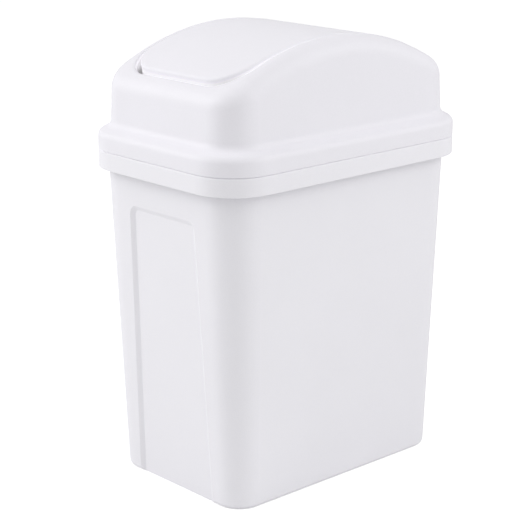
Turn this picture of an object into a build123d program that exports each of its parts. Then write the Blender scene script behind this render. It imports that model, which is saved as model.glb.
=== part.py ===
"""A small countertop bin with a swing lid: three plastic mouldings, all in one colour.

The tub tapers to its base, has a sunk panel in each narrow end and carries a turned-down rim. The domed
frame of the lid stands on that rim and locates inside the mouth. The arched flap swings in the top of the
frame on two stub pins, and hangs level by its own weight.

X runs along the bin, Y across it and Z up. The origin is the centre of the base, where the bin stands.
All sizes are in millimetres, and a "profile" is the half length, half width and corner radius of an outline.
"""

import os
from math import asin, atan2, hypot, radians, sqrt, tan

from build123d import *

# Tub
BIN_HEIGHT = 245.0  # base to the top of the rim
BASE_LENGTH = 204.6
BASE_WIDTH = 135.3
BASE_CORNER = 19.8
BASE_ROUNDING = 3.5
WALL = 2.0  # wall of the tub and of the lid frame
FOOT_WIDTH = 4.0  # flat of the ring that the bin stands on
FOOT_HEIGHT = 1.2
RIM_LENGTH = 240.0
RIM_WIDTH = 164.7
RIM_CORNER = 34.8
RIM_HEIGHT = 13.5
RIM_OVERHANG = 6.9  # outside of the tub's wall to outside of the rim
RIM_ROUNDING = 1.5
PANEL_HEIGHT = 208.5  # sunk panel in each narrow end, open at the foot
PANEL_FOOT_WIDTH = 82.8
PANEL_TOP_WIDTH = 70.6
PANEL_CORNER = 7.0
PANEL_DEPTH = 2.2
PANEL_BORDER = 3.4  # width of the slope around the panel

# Lid frame
SKIRT_HEIGHT = 12.3  # rim to the edge where the lid's shoulder begins
SHOULDER_WIDTH = 9.4  # edge of the skirt to the foot of the dome
SHOULDER_SLOPE = 28.0  # degrees above level
SHOULDER_ROUNDING = 5.5
LOCATOR_DEPTH = 8.0  # how far the locating wall reaches into the mouth
LOCATOR_WALL = 1.8
LOCATOR_CLEARANCE = 0.6
DOME_DRAFT = 2.76  # degrees
DOME_ROOT_ROUNDING = 5.5
DOME_ROUNDING = 13.6  # where the dome's walls turn into its arched top
DOME_INSIDE_BEVEL = 8.0
LID_HEIGHT = 82.9  # rim to the crest of the arch
ARCH_RADIUS = 194.6
OPENING_CORNER = 23.0
OPENING_ROUNDING = 2.0
OPENING_LIP_WALL = 1.8  # turned-down edge of the opening
OPENING_LIP_DEPTH = 7.0

# Flap
FLAP_LENGTH = 192.4
FLAP_WIDTH = 112.0
FLAP_CORNER = 27.0
FLAP_GAP = 1.0  # flap to the opening, all round
FLAP_ARCH_RADIUS = 211.5  # flatter than the frame, so the flap's ends stand proud
FLAP_WALL = 2.0
FLAP_DEPTH = 10.0  # skin and turned-down edge together
FLAP_ROUNDING = 2.5
RIB_SPACING = 46.0
RIB_THICKNESS = 1.4
RIB_DEPTH = 5.0

# Pivot
PIVOT_DROP = 8.0  # crest to the axis of the pins
PIN_RADIUS = 2.5
PIN_CLEARANCE = 0.08
PIN_CHAMFER = 0.5
EAR_RADIUS = 6.0  # rounded end of the flap's ears
EAR_THICKNESS = 3.0
LUG_RADIUS = 7.0  # rounded end of the frame's lugs
LUG_THICKNESS = 3.6
SNAP_WIDTH = 4.2  # throat that the pin is pushed through
SNAP_LEAD = 2.0  # flare at the mouth of the throat, high and to each side

EDGE_BREAK = 0.4  # small edges
OVERCUT = 1.0  # how far a cutting solid passes what it cuts

# Places that follow from the sizes above
EAVES = BIN_HEIGHT + SKIRT_HEIGHT
SHOULDER = EAVES + SHOULDER_WIDTH * tan(radians(SHOULDER_SLOPE))
CREST = BIN_HEIGHT + LID_HEIGHT
PIVOT = CREST - PIVOT_DROP
FLOOR = FOOT_HEIGHT + WALL


def grown(profile, margin):
    """The profile moved outward by a margin, or inward by a negative one."""
    return tuple(size + margin for size in profile)


BASE = (BASE_LENGTH / 2, BASE_WIDTH / 2, BASE_CORNER)
RIM = (RIM_LENGTH / 2, RIM_WIDTH / 2, RIM_CORNER)
MOUTH = grown(RIM, -RIM_OVERHANG)
DOME = grown(RIM, -SHOULDER_WIDTH)  # at the shoulder
OPENING = (FLAP_LENGTH / 2 + FLAP_GAP, FLAP_WIDTH / 2 + FLAP_GAP, OPENING_CORNER)


def outline(profile, height):
    """The profile as a face at one height."""
    half_length, half_width, corner = profile
    return Plane.XY.offset(height) * RectangleRounded(2 * half_length, 2 * half_width, corner)


def prism(profile, bottom, top):
    """A straight block with rounded corners."""
    return extrude(outline(profile, bottom), top - bottom)


def arch(radius, crest):
    """A cylinder across the bin whose highest line is at the crest."""
    return Pos(0, 0, crest - radius) * Rot(90, 0, 0) * Cylinder(radius, 2 * RIM_WIDTH)


def across(sketch, start, thickness):
    """A sketch on the pivot, seen from the long side of the bin and extruded toward it from Y = start."""
    seen = Plane(origin=(0, start, PIVOT), x_dir=(1, 0, 0), z_dir=(0, -1, 0))
    return extrude(seen * sketch, thickness)


def wedge(half_foot, half_top, bottom, top):
    """The four corners of an upright trapezium, for the faces of a block that leans in or out."""
    return [(-half_foot, bottom), (half_foot, bottom), (half_top, top), (-half_top, top)]


def lengthways(corners):
    """A block whose outline is seen from the long side of the bin."""
    return extrude(Plane.XZ * Polygon(*corners, align=None), RIM_LENGTH, both=True)


def sideways(corners):
    """A block whose outline is seen from the narrow end of the bin."""
    return extrude(Plane.YZ * Polygon(*corners, align=None), RIM_LENGTH, both=True)


def both_sides(solid):
    """A solid and its mirror image on the other long side."""
    return solid + mirror(solid, Plane.XZ)


def four_corners(solid):
    """A solid at one corner of the bin, and its mirror images at the other three."""
    return both_sides(solid + mirror(solid, Plane.YZ))


def edges_at(solid, height):
    """The edges that lie wholly at one height."""
    return solid.edges().filter_by_position(Axis.Z, height - 0.01, height + 0.01)


# Tub


def tub_wall(height):
    """Profile of the outside of the tapered wall."""
    return tuple(foot + (top - foot) * height / BIN_HEIGHT for foot, top in zip(BASE, MOUTH))


def corner_cone(inset, high):
    """The cone that touches an end and a side wall of the tub, and the space outside its lines of touch."""
    end_slope, side_slope, corner_slope = [(top - foot) / BIN_HEIGHT for foot, top in zip(BASE, MOUTH)]
    tip_height = (inset - BASE_CORNER) / corner_slope
    half_length, half_width, _ = grown(tub_wall(tip_height), -inset)
    tip = Vector(half_length, half_width, tip_height)
    end_normal = Vector(1, 0, -end_slope).normalized()
    side_normal = Vector(0, 1, -side_slope).normalized()
    end_lean = end_slope - corner_slope * hypot(1, end_slope)
    side_lean = side_slope - corner_slope * hypot(1, side_slope)
    axis = Vector(end_lean, side_lean, 1)
    length = (high + OVERCUT - tip_height) * axis.length
    mouth_radius = length * tan(asin(corner_slope / axis.length))
    at_tip = (Align.CENTER, Align.CENTER, Align.MIN)
    cone = Plane(origin=tip, z_dir=axis) * Cone(0, mouth_radius, length, align=at_tip)
    touch_end = axis + end_normal * corner_slope
    touch_side = axis + side_normal * corner_slope
    chord = Plane(origin=tip, x_dir=touch_end - touch_side, z_dir=touch_side.cross(touch_end))
    return cone, chord * Box(RIM_LENGTH, 3 * length, RIM_LENGTH, align=at_tip)


def tub_block(inset, low, high):
    """The tapered block of the tub, drawn in by an inset: flat walls joined by conical corners."""
    foot_length, foot_width, _ = grown(tub_wall(low), -inset)
    top_length, top_width, _ = grown(tub_wall(high), -inset)
    block = lengthways(wedge(foot_length, top_length, low, high))
    block &= sideways(wedge(foot_width, top_width, low, high))
    cone, outside = corner_cone(inset, high)
    corner = block & outside & cone
    block -= four_corners(outside)
    return block + four_corners(corner)


def panel_face(depth, skin):
    """Outline of the sunk panel at one depth of its border, on the outside or a skin further in."""
    margin = skin * tan(atan2(PANEL_DEPTH, PANEL_BORDER) / 2)
    inset = PANEL_BORDER * depth / PANEL_DEPTH - margin
    top = PANEL_HEIGHT - inset
    half_top = PANEL_TOP_WIDTH / 2 - inset
    half_foot = PANEL_FOOT_WIDTH / 2 - inset
    sides = Polygon(*wedge(half_foot, half_top, -OVERCUT, top), align=None)
    panel = fillet(sides.vertices().group_by(Axis.Y)[-1], PANEL_CORNER - inset)
    lean = (MOUTH[0] - BASE[0]) / BIN_HEIGHT
    end_face = Plane(origin=(BASE[0], 0, 0), x_dir=(0, 1, 0), z_dir=(1, 0, -lean))
    return end_face.offset(-depth - skin) * panel


def sunk_panels(skin=0.0):
    """The space that the panels take out of both ends, or with a skin the same step on the wall's inside."""
    panel = loft([panel_face(-OVERCUT, skin), panel_face(PANEL_DEPTH, skin)], ruled=True)
    return panel + mirror(panel, Plane.YZ)


def turned_rim():
    """The rim outside the wall: flat on top and open underneath."""
    rim = prism(RIM, BIN_HEIGHT - RIM_HEIGHT, BIN_HEIGHT)
    rim = fillet(edges_at(rim, BIN_HEIGHT), RIM_ROUNDING)
    rim = chamfer(edges_at(rim, BIN_HEIGHT - RIM_HEIGHT), EDGE_BREAK)
    return rim - prism(grown(RIM, -WALL), BIN_HEIGHT - RIM_HEIGHT - OVERCUT, BIN_HEIGHT - WALL)


def bin_body():
    """The tub, with its foot ring, sunk panels and rim."""
    tub = fillet(edges_at(tub_block(0, 0, BIN_HEIGHT), 0), BASE_ROUNDING)
    tub = tub - sunk_panels() + turned_rim()
    inside = tub_block(WALL, FLOOR, BIN_HEIGHT + OVERCUT)
    inside = chamfer(edges_at(inside, FLOOR), BASE_ROUNDING - WALL) - sunk_panels(WALL)
    under = prism(grown(BASE, -BASE_ROUNDING - FOOT_WIDTH), -OVERCUT, FOOT_HEIGHT)
    return tub - inside - under


# Lid frame


def dome_walls(inset):
    """The walls of the dome with their moulding draft, from under the shoulder to above the crest."""
    low = SHOULDER - WALL
    foot = grown(DOME, WALL * tan(radians(DOME_DRAFT)) - inset)
    return extrude(outline(foot, low), LID_HEIGHT, taper=DOME_DRAFT)


def top_edges(block):
    """The edges round the highest face."""
    return block.faces().sort_by(Axis.Z)[-1].edges()


def dome(inset):
    """The domed block from under the shoulder up to its arched and rounded top, drawn in by an inset."""
    block = dome_walls(inset) & arch(ARCH_RADIUS - inset, CREST - inset)
    return fillet(top_edges(block), DOME_ROUNDING - inset)


def dome_inside():
    """The space in the dome. Its top edges are cut off flat, which leaves the wall about as thick there."""
    block = dome_walls(WALL) & arch(ARCH_RADIUS - WALL, CREST - WALL)
    return chamfer(top_edges(block), DOME_INSIDE_BEVEL)


def locator(inset):
    """The block inside the mouth that the lid is centred by, following the taper of the tub."""
    return tub_block(WALL + LOCATOR_CLEARANCE + inset, BIN_HEIGHT - LOCATOR_DEPTH, SHOULDER - WALL / 2)


def skirt(inset, low):
    """The skirt and its sloping shoulder as a block that reaches into the dome, drawn in by an inset."""
    edge = EAVES - inset * tan(radians(90 - SHOULDER_SLOPE) / 2)
    profile = grown(RIM, -inset)
    rise = (SHOULDER_WIDTH + DOME_ROOT_ROUNDING) * tan(radians(SHOULDER_SLOPE))
    slope = extrude(outline(profile, edge), rise, taper=90 - SHOULDER_SLOPE)
    return prism(profile, low, edge) + slope


def domed_block():
    """Skirt, shoulder and dome as one solid, with a well where the opening is."""
    block = skirt(0, BIN_HEIGHT) + dome(0)
    block = fillet(edges_at(block, SHOULDER), DOME_ROOT_ROUNDING)
    block = fillet(edges_at(block, EAVES), SHOULDER_ROUNDING)
    block = chamfer(edges_at(block, BIN_HEIGHT), EDGE_BREAK)
    well = prism(OPENING, SHOULDER, CREST + OVERCUT)
    cut = block - well
    brim = new_edges(block, well, combined=cut).filter_by(Axis.Z, reverse=True)
    return fillet(brim, OPENING_ROUNDING)


def opening_lip():
    """The space round the opening that its turned-down edge keeps."""
    drop = WALL + OPENING_LIP_DEPTH
    return prism(grown(OPENING, OPENING_LIP_WALL), SHOULDER, CREST) - arch(ARCH_RADIUS - drop, CREST - drop)


def bearing_lugs():
    """The space of a lug on each long side of the opening, before its hole is cut."""
    above = Rectangle(2 * LUG_RADIUS, PIVOT_DROP, align=(Align.CENTER, Align.MIN))
    lug = across(Circle(LUG_RADIUS) + above, -OPENING[1], LUG_THICKNESS)
    return both_sides(lug)


def bearing_holes():
    """The hole for each pin, and the throat under it that the pin snaps through."""
    hole = Circle(PIN_RADIUS + PIN_CLEARANCE)
    throat = Rectangle(SNAP_WIDTH, LUG_RADIUS + OVERCUT, align=(Align.CENTER, Align.MAX))
    half = SNAP_WIDTH / 2
    mouth = -LUG_RADIUS
    wide = half + SNAP_LEAD
    neck = mouth + SNAP_LEAD
    flare = Polygon((-half, neck), (half, neck), (wide, mouth), (-wide, mouth), align=None)
    return both_sides(across(hole + throat + flare, -OPENING[1] + OVERCUT, LUG_THICKNESS + 2 * OVERCUT))


def lid_frame():
    """The lid without its flap."""
    inside = skirt(WALL, BIN_HEIGHT - OVERCUT) + dome_inside() - opening_lip() - bearing_lugs()
    locating_wall = locator(0) - locator(LOCATOR_WALL)
    return domed_block() - inside + locating_wall - bearing_holes()


# Flap


def flap_block(inset):
    """The flap's outer form drawn in by an inset. Its ends lean inward to follow their swing."""
    half_length = FLAP_LENGTH / 2 - inset
    half_width = FLAP_WIDTH / 2 - inset
    end_height = CREST - FLAP_ARCH_RADIUS + sqrt(FLAP_ARCH_RADIUS**2 - (FLAP_LENGTH / 2) ** 2)
    lean = (PIVOT - end_height + FLAP_DEPTH / 2) / (FLAP_LENGTH / 2)
    low = end_height - 2 * FLAP_DEPTH
    half_foot = half_length - lean * (end_height - low)
    half_top = half_length + lean * (CREST - end_height)
    block = lengthways(wedge(half_foot, half_top, low, CREST))
    block &= sideways(wedge(half_width, half_width, low, CREST))
    upright = block.edges().filter_by(Axis.X, reverse=True).filter_by(Axis.Y, reverse=True)
    block = fillet(upright, FLAP_CORNER - inset)
    return block & arch(FLAP_ARCH_RADIUS - inset, CREST - inset)


def flap_slab(depth):
    """What lies deeper than a depth under the flap's arched top."""
    return arch(FLAP_ARCH_RADIUS - depth, CREST - depth)


def flap_ribs():
    """Thin ribs across the underside of the skin."""
    bars = Box(RIB_THICKNESS, FLAP_WIDTH - FLAP_WALL, 2 * LID_HEIGHT)
    ribs = Pos(0, 0, CREST) * (bars + Pos(-RIB_SPACING, 0, 0) * bars + Pos(RIB_SPACING, 0, 0) * bars)
    return (ribs & flap_slab(FLAP_WALL / 2)) - flap_slab(FLAP_WALL + RIB_DEPTH)


def pivot_ears():
    """An ear inside each long edge of the flap, with its stub pin reaching out through the frame's lug."""
    above = Rectangle(2 * EAR_RADIUS, PIVOT_DROP, align=(Align.CENTER, Align.MIN))
    start = -FLAP_WIDTH / 2 + EAR_THICKNESS
    ear = across(Circle(EAR_RADIUS) + above, start, EAR_THICKNESS) & flap_slab(FLAP_WALL / 2)
    pin = across(Circle(PIN_RADIUS), start, EAR_THICKNESS + FLAP_GAP + LUG_THICKNESS)
    pin = chamfer(pin.faces().sort_by(Axis.Y)[0].edges(), PIN_CHAMFER)
    return both_sides(ear + pin)


def swing_flap():
    """The flap: arched skin, turned-down edge, ribs, ears and pins."""
    block = flap_block(0)
    block = fillet(top_edges(block), FLAP_ROUNDING)
    shell = block - flap_block(FLAP_WALL) - flap_slab(FLAP_DEPTH)
    return shell + flap_ribs() + pivot_ears()


def main():
    """Write one STEP file for each moulding."""
    os.makedirs("parts", exist_ok=True)
    pieces = {"bin_body": bin_body(), "lid_frame": lid_frame(), "swing_flap": swing_flap()}
    for name, piece in pieces.items():
        export_step(piece, f"parts/{name}.step")


if __name__ == "__main__":
    main()
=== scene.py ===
"""Countertop trash can with a swing lid: materials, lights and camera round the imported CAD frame.

The three CAD nodes stay visible in procedural plastics, and no piece is added. Lengths are in
metres, and angles in degrees unless a function says otherwise.
"""
import math

import bpy
from mathutils import Matrix, Vector


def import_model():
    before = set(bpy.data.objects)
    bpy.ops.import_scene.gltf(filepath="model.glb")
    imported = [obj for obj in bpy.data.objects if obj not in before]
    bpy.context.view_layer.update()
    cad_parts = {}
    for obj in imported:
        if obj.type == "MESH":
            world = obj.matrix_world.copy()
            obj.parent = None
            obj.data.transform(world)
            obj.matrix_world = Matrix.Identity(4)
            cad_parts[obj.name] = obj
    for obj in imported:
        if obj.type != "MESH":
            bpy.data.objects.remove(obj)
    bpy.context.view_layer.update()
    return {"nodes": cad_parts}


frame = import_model()

# ---------------------------------------------------------------- plastics
TUB_COLOUR = (0.901, 0.891, 0.932)
LID_COLOUR = (0.889, 0.876, 0.924)
PLASTIC_IOR = 1.49
CLOUDS = 14.0  # cloudy patches in the colour, to the metre
CLOUD_SHADE = 0.985  # darkest cloud, as a share of the colour
SPECK_SHADE = 0.975  # darkest speck of the grain, as a share of the colour
SHEEN_SPREAD = 0.04  # how far the ripple moves the roughness, up and down
NOISE_MIDDLE = (0.3, 0.7)  # where most of a noise lies

# Painted light: a glow in the lid's narrow gaps and hollows, where ambient occlusion finds the plastic
# shut in.
PAINTED_GLOW_REACH = 0.1  # how far round a point the ambient occlusion looks
PAINTED_GLOW_SAMPLES = 8
PAINTED_GLOW_SHUT = 0.4  # share of open sky at which the painted glow is full
PAINTED_GLOW_OPEN = 0.7  # share of open sky at which it ends
PAINTED_GLOW_FROM = 0.248  # height at which it starts, just over the parting line
PAINTED_GLOW_FADE = 0.006  # height over which it comes in
PAINTED_GLOW_COLOUR = (0.90, 0.90, 0.86)
LID_PAINTED_GLOW = 0.22  # full strength of the painted glow on the lid and the flap


class Nodes:
    """A material's node tree, with short ways to add and join its nodes."""

    def __init__(self, name):
        self.material = bpy.data.materials.new(name)
        self.material.use_nodes = True
        self.tree = self.material.node_tree
        self.shader = self.tree.nodes["Principled BSDF"]
        self.place = self.add("TexCoord")

    def add(self, kind, **values):
        """Adds a node and sets its inputs or its own settings by name."""
        node = self.tree.nodes.new("ShaderNode" + kind)
        for key, value in values.items():
            if key in node.inputs:
                node.inputs[key].default_value = value
            else:
                setattr(node, key, value)
        return node

    def join(self, source, target):
        self.tree.links.new(source, target)

    def noise(self, scale, detail, roughness=0.5):
        """Noise in object space, with scale features to the metre."""
        node = self.add("TexNoise", Scale=scale, Detail=detail, Roughness=roughness)
        self.join(self.place.outputs["Object"], node.inputs["Vector"])
        return node.outputs["Fac"]

    def map(self, value, start, end, low, high):
        """Maps start ... end to low ... high, and holds it there outside."""
        node = self.add("MapRange")
        node.inputs["From Min"].default_value = start
        node.inputs["From Max"].default_value = end
        node.inputs["To Min"].default_value = low
        node.inputs["To Max"].default_value = high
        self.join(value, node.inputs["Value"])
        return node.outputs["Result"]

    def spread(self, value, low, high):
        """Maps the middle of a noise to low ... high."""
        return self.map(value, *NOISE_MIDDLE, low, high)

    def tint(self, value, dark, light):
        """Runs from one colour to the other as the value goes from 0 to 1."""
        node = self.add("Mix", data_type="RGBA")
        node.inputs["A"].default_value = (*dark, 1)
        node.inputs["B"].default_value = (*light, 1)
        self.join(value, node.inputs["Factor"])
        return node.outputs["Result"]

    def multiply(self, first, second):
        """Multiplies one colour by another."""
        node = self.add("Mix", data_type="RGBA", blend_type="MULTIPLY")
        node.inputs["Factor"].default_value = 1.0
        self.join(first, node.inputs["A"])
        self.join(second, node.inputs["B"])
        return node.outputs["Result"]

    def bump(self, height, distance, under=None):
        """Bump of the given depth, on top of the normal under it."""
        node = self.add("Bump", Strength=1.0, Distance=distance)
        self.join(height, node.inputs["Height"])
        if under is not None:
            self.join(under, node.inputs["Normal"])
        return node.outputs["Normal"]

    def painted_glow_in_hollows(self, level):
        """Painted light: a glow, driven by ambient occlusion, in what is shut in: narrow gaps and the
        inside.

        It ends just over the parting line of lid and tub, which is dark in the photograph.
        """
        sky = self.add("AmbientOcclusion", samples=PAINTED_GLOW_SAMPLES, Distance=PAINTED_GLOW_REACH)
        glow = self.map(sky.outputs["AO"], PAINTED_GLOW_SHUT, PAINTED_GLOW_OPEN, level, 0.0)
        split = self.add("SeparateXYZ")
        self.join(self.place.outputs["Object"], split.inputs["Vector"])
        above = self.map(split.outputs["Z"], PAINTED_GLOW_FROM, PAINTED_GLOW_FROM + PAINTED_GLOW_FADE, 0.0, 1.0)
        both = self.add("Math", operation="MULTIPLY")
        self.join(glow, both.inputs[0])
        self.join(above, both.inputs[1])
        # the painted glow: emission where the plastic is shut in, above the parting line
        self.shader.inputs["Emission Color"].default_value = (*PAINTED_GLOW_COLOUR, 1)
        self.join(both.outputs["Value"], self.shader.inputs["Emission Strength"])


def moulded_plastic(name, colour, roughness, grain, grain_depth, ripple, ripple_depth, painted_glow_strength=0.0):
    """Moulded plastic: a fine grain, slow waves in the sheen, and faint clouds in the colour.

    grain and ripple are counts to the metre, and the last argument is the full strength of the painted
    glow in gaps and hollows.
    """
    n = Nodes(name)
    clouds = n.noise(CLOUDS, detail=3.0)
    specks = n.noise(grain, detail=2.0, roughness=0.6)
    waves = n.noise(ripple, detail=2.0)
    cloudy = n.tint(n.spread(clouds, 0.0, 1.0), [c * CLOUD_SHADE for c in colour], colour)
    speckled = n.tint(n.spread(specks, 0.0, 1.0), [SPECK_SHADE] * 3, (1, 1, 1))
    n.join(n.multiply(cloudy, speckled), n.shader.inputs["Base Color"])
    sheen = n.spread(waves, roughness - SHEEN_SPREAD, roughness + SHEEN_SPREAD)
    n.join(sheen, n.shader.inputs["Roughness"])
    rippled = n.bump(waves, ripple_depth)
    n.join(n.bump(specks, grain_depth, rippled), n.shader.inputs["Normal"])
    n.shader.inputs["IOR"].default_value = PLASTIC_IOR
    # painted glow in gaps and hollows, for the lid and the flap only
    if painted_glow_strength:
        n.painted_glow_in_hollows(painted_glow_strength)
    return n.material


def lid_like_plastic(name):
    """The plastic of the lid and the flap, a little smoother than the tub's, with the painted glow in
    its gaps.
    """
    return moulded_plastic(name, LID_COLOUR, roughness=0.52, grain=1200.0, grain_depth=0.00003,
                           ripple=70.0, ripple_depth=0.00006, painted_glow_strength=LID_PAINTED_GLOW)


def dress(node, material):
    """Gives a CAD node its material."""
    slots = node.material_slots
    if not slots:
        node.data.materials.append(material)
    for slot in slots:
        slot.link = "OBJECT"
        slot.material = material


tub_plastic = moulded_plastic("tub_plastic", TUB_COLOUR, roughness=0.55, grain=1500.0,
                              grain_depth=0.00006, ripple=90.0, ripple_depth=0.00006)
dress(frame["nodes"]["bin_body"], tub_plastic)
dress(frame["nodes"]["lid_frame"], lid_like_plastic("lid_plastic"))
dress(frame["nodes"]["swing_flap"], lid_like_plastic("flap_plastic"))

# ---------------------------------------------------------------- floor and world
FLOOR_HALF = 30.0  # half the side of the floor
FLOOR_COLOUR = (0.86, 0.86, 0.86)
FLOOR_GLOW = 0.5  # seen by the camera only, to make the lit floor white
WORLD_LEVEL = 0.592  # light of the world on the object, which is 1 to the camera


def floor():
    """A wide pale floor that keeps the object's soft shadow."""
    mesh = bpy.data.meshes.new("floor")
    corners = [(-FLOOR_HALF, -FLOOR_HALF, 0), (FLOOR_HALF, -FLOOR_HALF, 0),
               (FLOOR_HALF, FLOOR_HALF, 0), (-FLOOR_HALF, FLOOR_HALF, 0)]
    mesh.from_pydata(corners, [], [(0, 1, 2, 3)])
    plane = bpy.data.objects.new("floor", mesh)
    bpy.context.scene.collection.objects.link(plane)
    material = bpy.data.materials.new("floor")
    material.use_nodes = True
    tree = material.node_tree
    shader = tree.nodes["Principled BSDF"]
    shader.inputs["Base Color"].default_value = (*FLOOR_COLOUR, 1)
    shader.inputs["Roughness"].default_value = 1.0
    shader.inputs["Specular IOR Level"].default_value = 0.0
    shader.inputs["Emission Color"].default_value = (1, 1, 1, 1)
    path = tree.nodes.new("ShaderNodeLightPath")
    glow = tree.nodes.new("ShaderNodeMath")
    glow.operation = "MULTIPLY"
    glow.inputs[1].default_value = FLOOR_GLOW
    tree.links.new(path.outputs["Is Camera Ray"], glow.inputs[0])
    tree.links.new(glow.outputs["Value"], shader.inputs["Emission Strength"])
    mesh.materials.append(material)


def world():
    """White to the camera, a plain even sky to everything else."""
    made = bpy.data.worlds.new("studio")
    bpy.context.scene.world = made
    made.use_nodes = True
    tree = made.node_tree
    sky = tree.nodes["Background"]
    sky.inputs["Color"].default_value = (1, 1, 1, 1)
    path = tree.nodes.new("ShaderNodeLightPath")
    level = tree.nodes.new("ShaderNodeMapRange")
    level.inputs["To Min"].default_value = WORLD_LEVEL
    level.inputs["To Max"].default_value = 1.0
    tree.links.new(path.outputs["Is Camera Ray"], level.inputs["Value"])
    tree.links.new(level.outputs["Result"], sky.inputs["Strength"])


floor()
world()

# ---------------------------------------------------------------- lamps and camera
AIM = Vector((0, 0, 0.16))  # what the lamps face
SOFTBOX_DISTANCE = 1.8
SOFTBOX_SIZE = 1.2
SENSOR_WIDTH = 36.0  # millimetres
FRAME_PIXELS = 522  # side of the photograph


def towards(azimuth, elevation):
    """The way from the object to a lamp or the camera, for angles in radians.

    Azimuth 0 is in front of the long side, and minus a quarter turn is before the narrow end.
    """
    return Vector((math.sin(azimuth) * math.cos(elevation),
                   -math.cos(azimuth) * math.cos(elevation), math.sin(elevation)))


def softbox(name, azimuth, elevation, power):
    """A square soft lamp that faces the object, with its power in watts."""
    back = towards(math.radians(azimuth), math.radians(elevation))
    lamp = bpy.data.lights.new(name, "AREA")
    lamp.shape = "SQUARE"
    lamp.size = SOFTBOX_SIZE
    lamp.energy = power
    holder = bpy.data.objects.new(name, lamp)
    holder.location = AIM + back * SOFTBOX_DISTANCE
    holder.rotation_mode = "QUATERNION"
    holder.rotation_quaternion = back.to_track_quat("Z", "Y")
    bpy.context.scene.collection.objects.link(holder)


def camera(azimuth, elevation, roll, distance, across, height, focal_pixels):
    """The camera at the photograph's viewing angle.

    It looks at a point that is height above the floor and across to the right of the object's
    upright axis, from distance away. The focal length is in the photograph's pixels.
    """
    a, e, r = math.radians(azimuth), math.radians(elevation), math.radians(roll)
    back = towards(a, e)
    level = Vector((math.cos(a), math.sin(a), 0))
    rise = back.cross(level)
    right = level * math.cos(r) + rise * math.sin(r)
    up = rise * math.cos(r) - level * math.sin(r)
    lens = bpy.data.cameras.new("camera")
    lens.sensor_width = SENSOR_WIDTH
    lens.lens = SENSOR_WIDTH * focal_pixels / FRAME_PIXELS
    lens.clip_start = 0.01
    lens.clip_end = 200.0
    holder = bpy.data.objects.new("camera", lens)
    place = Vector((0, 0, height)) + right * across + back * distance
    turn = Matrix((right, up, back)).transposed().to_4x4()
    holder.matrix_world = Matrix.Translation(place) @ turn
    bpy.context.scene.collection.objects.link(holder)
    bpy.context.scene.camera = holder


softbox("left", azimuth=-135, elevation=30, power=12.8)
softbox("above", azimuth=-42, elevation=70, power=3.9)
softbox("right", azimuth=35, elevation=30, power=9.1)
camera(azimuth=-42.27, elevation=15.95, roll=-0.17, distance=1.23746, across=-0.01309,
       height=0.15221, focal_pixels=1653.84)
bpy.context.scene.view_settings.view_transform = "Standard"
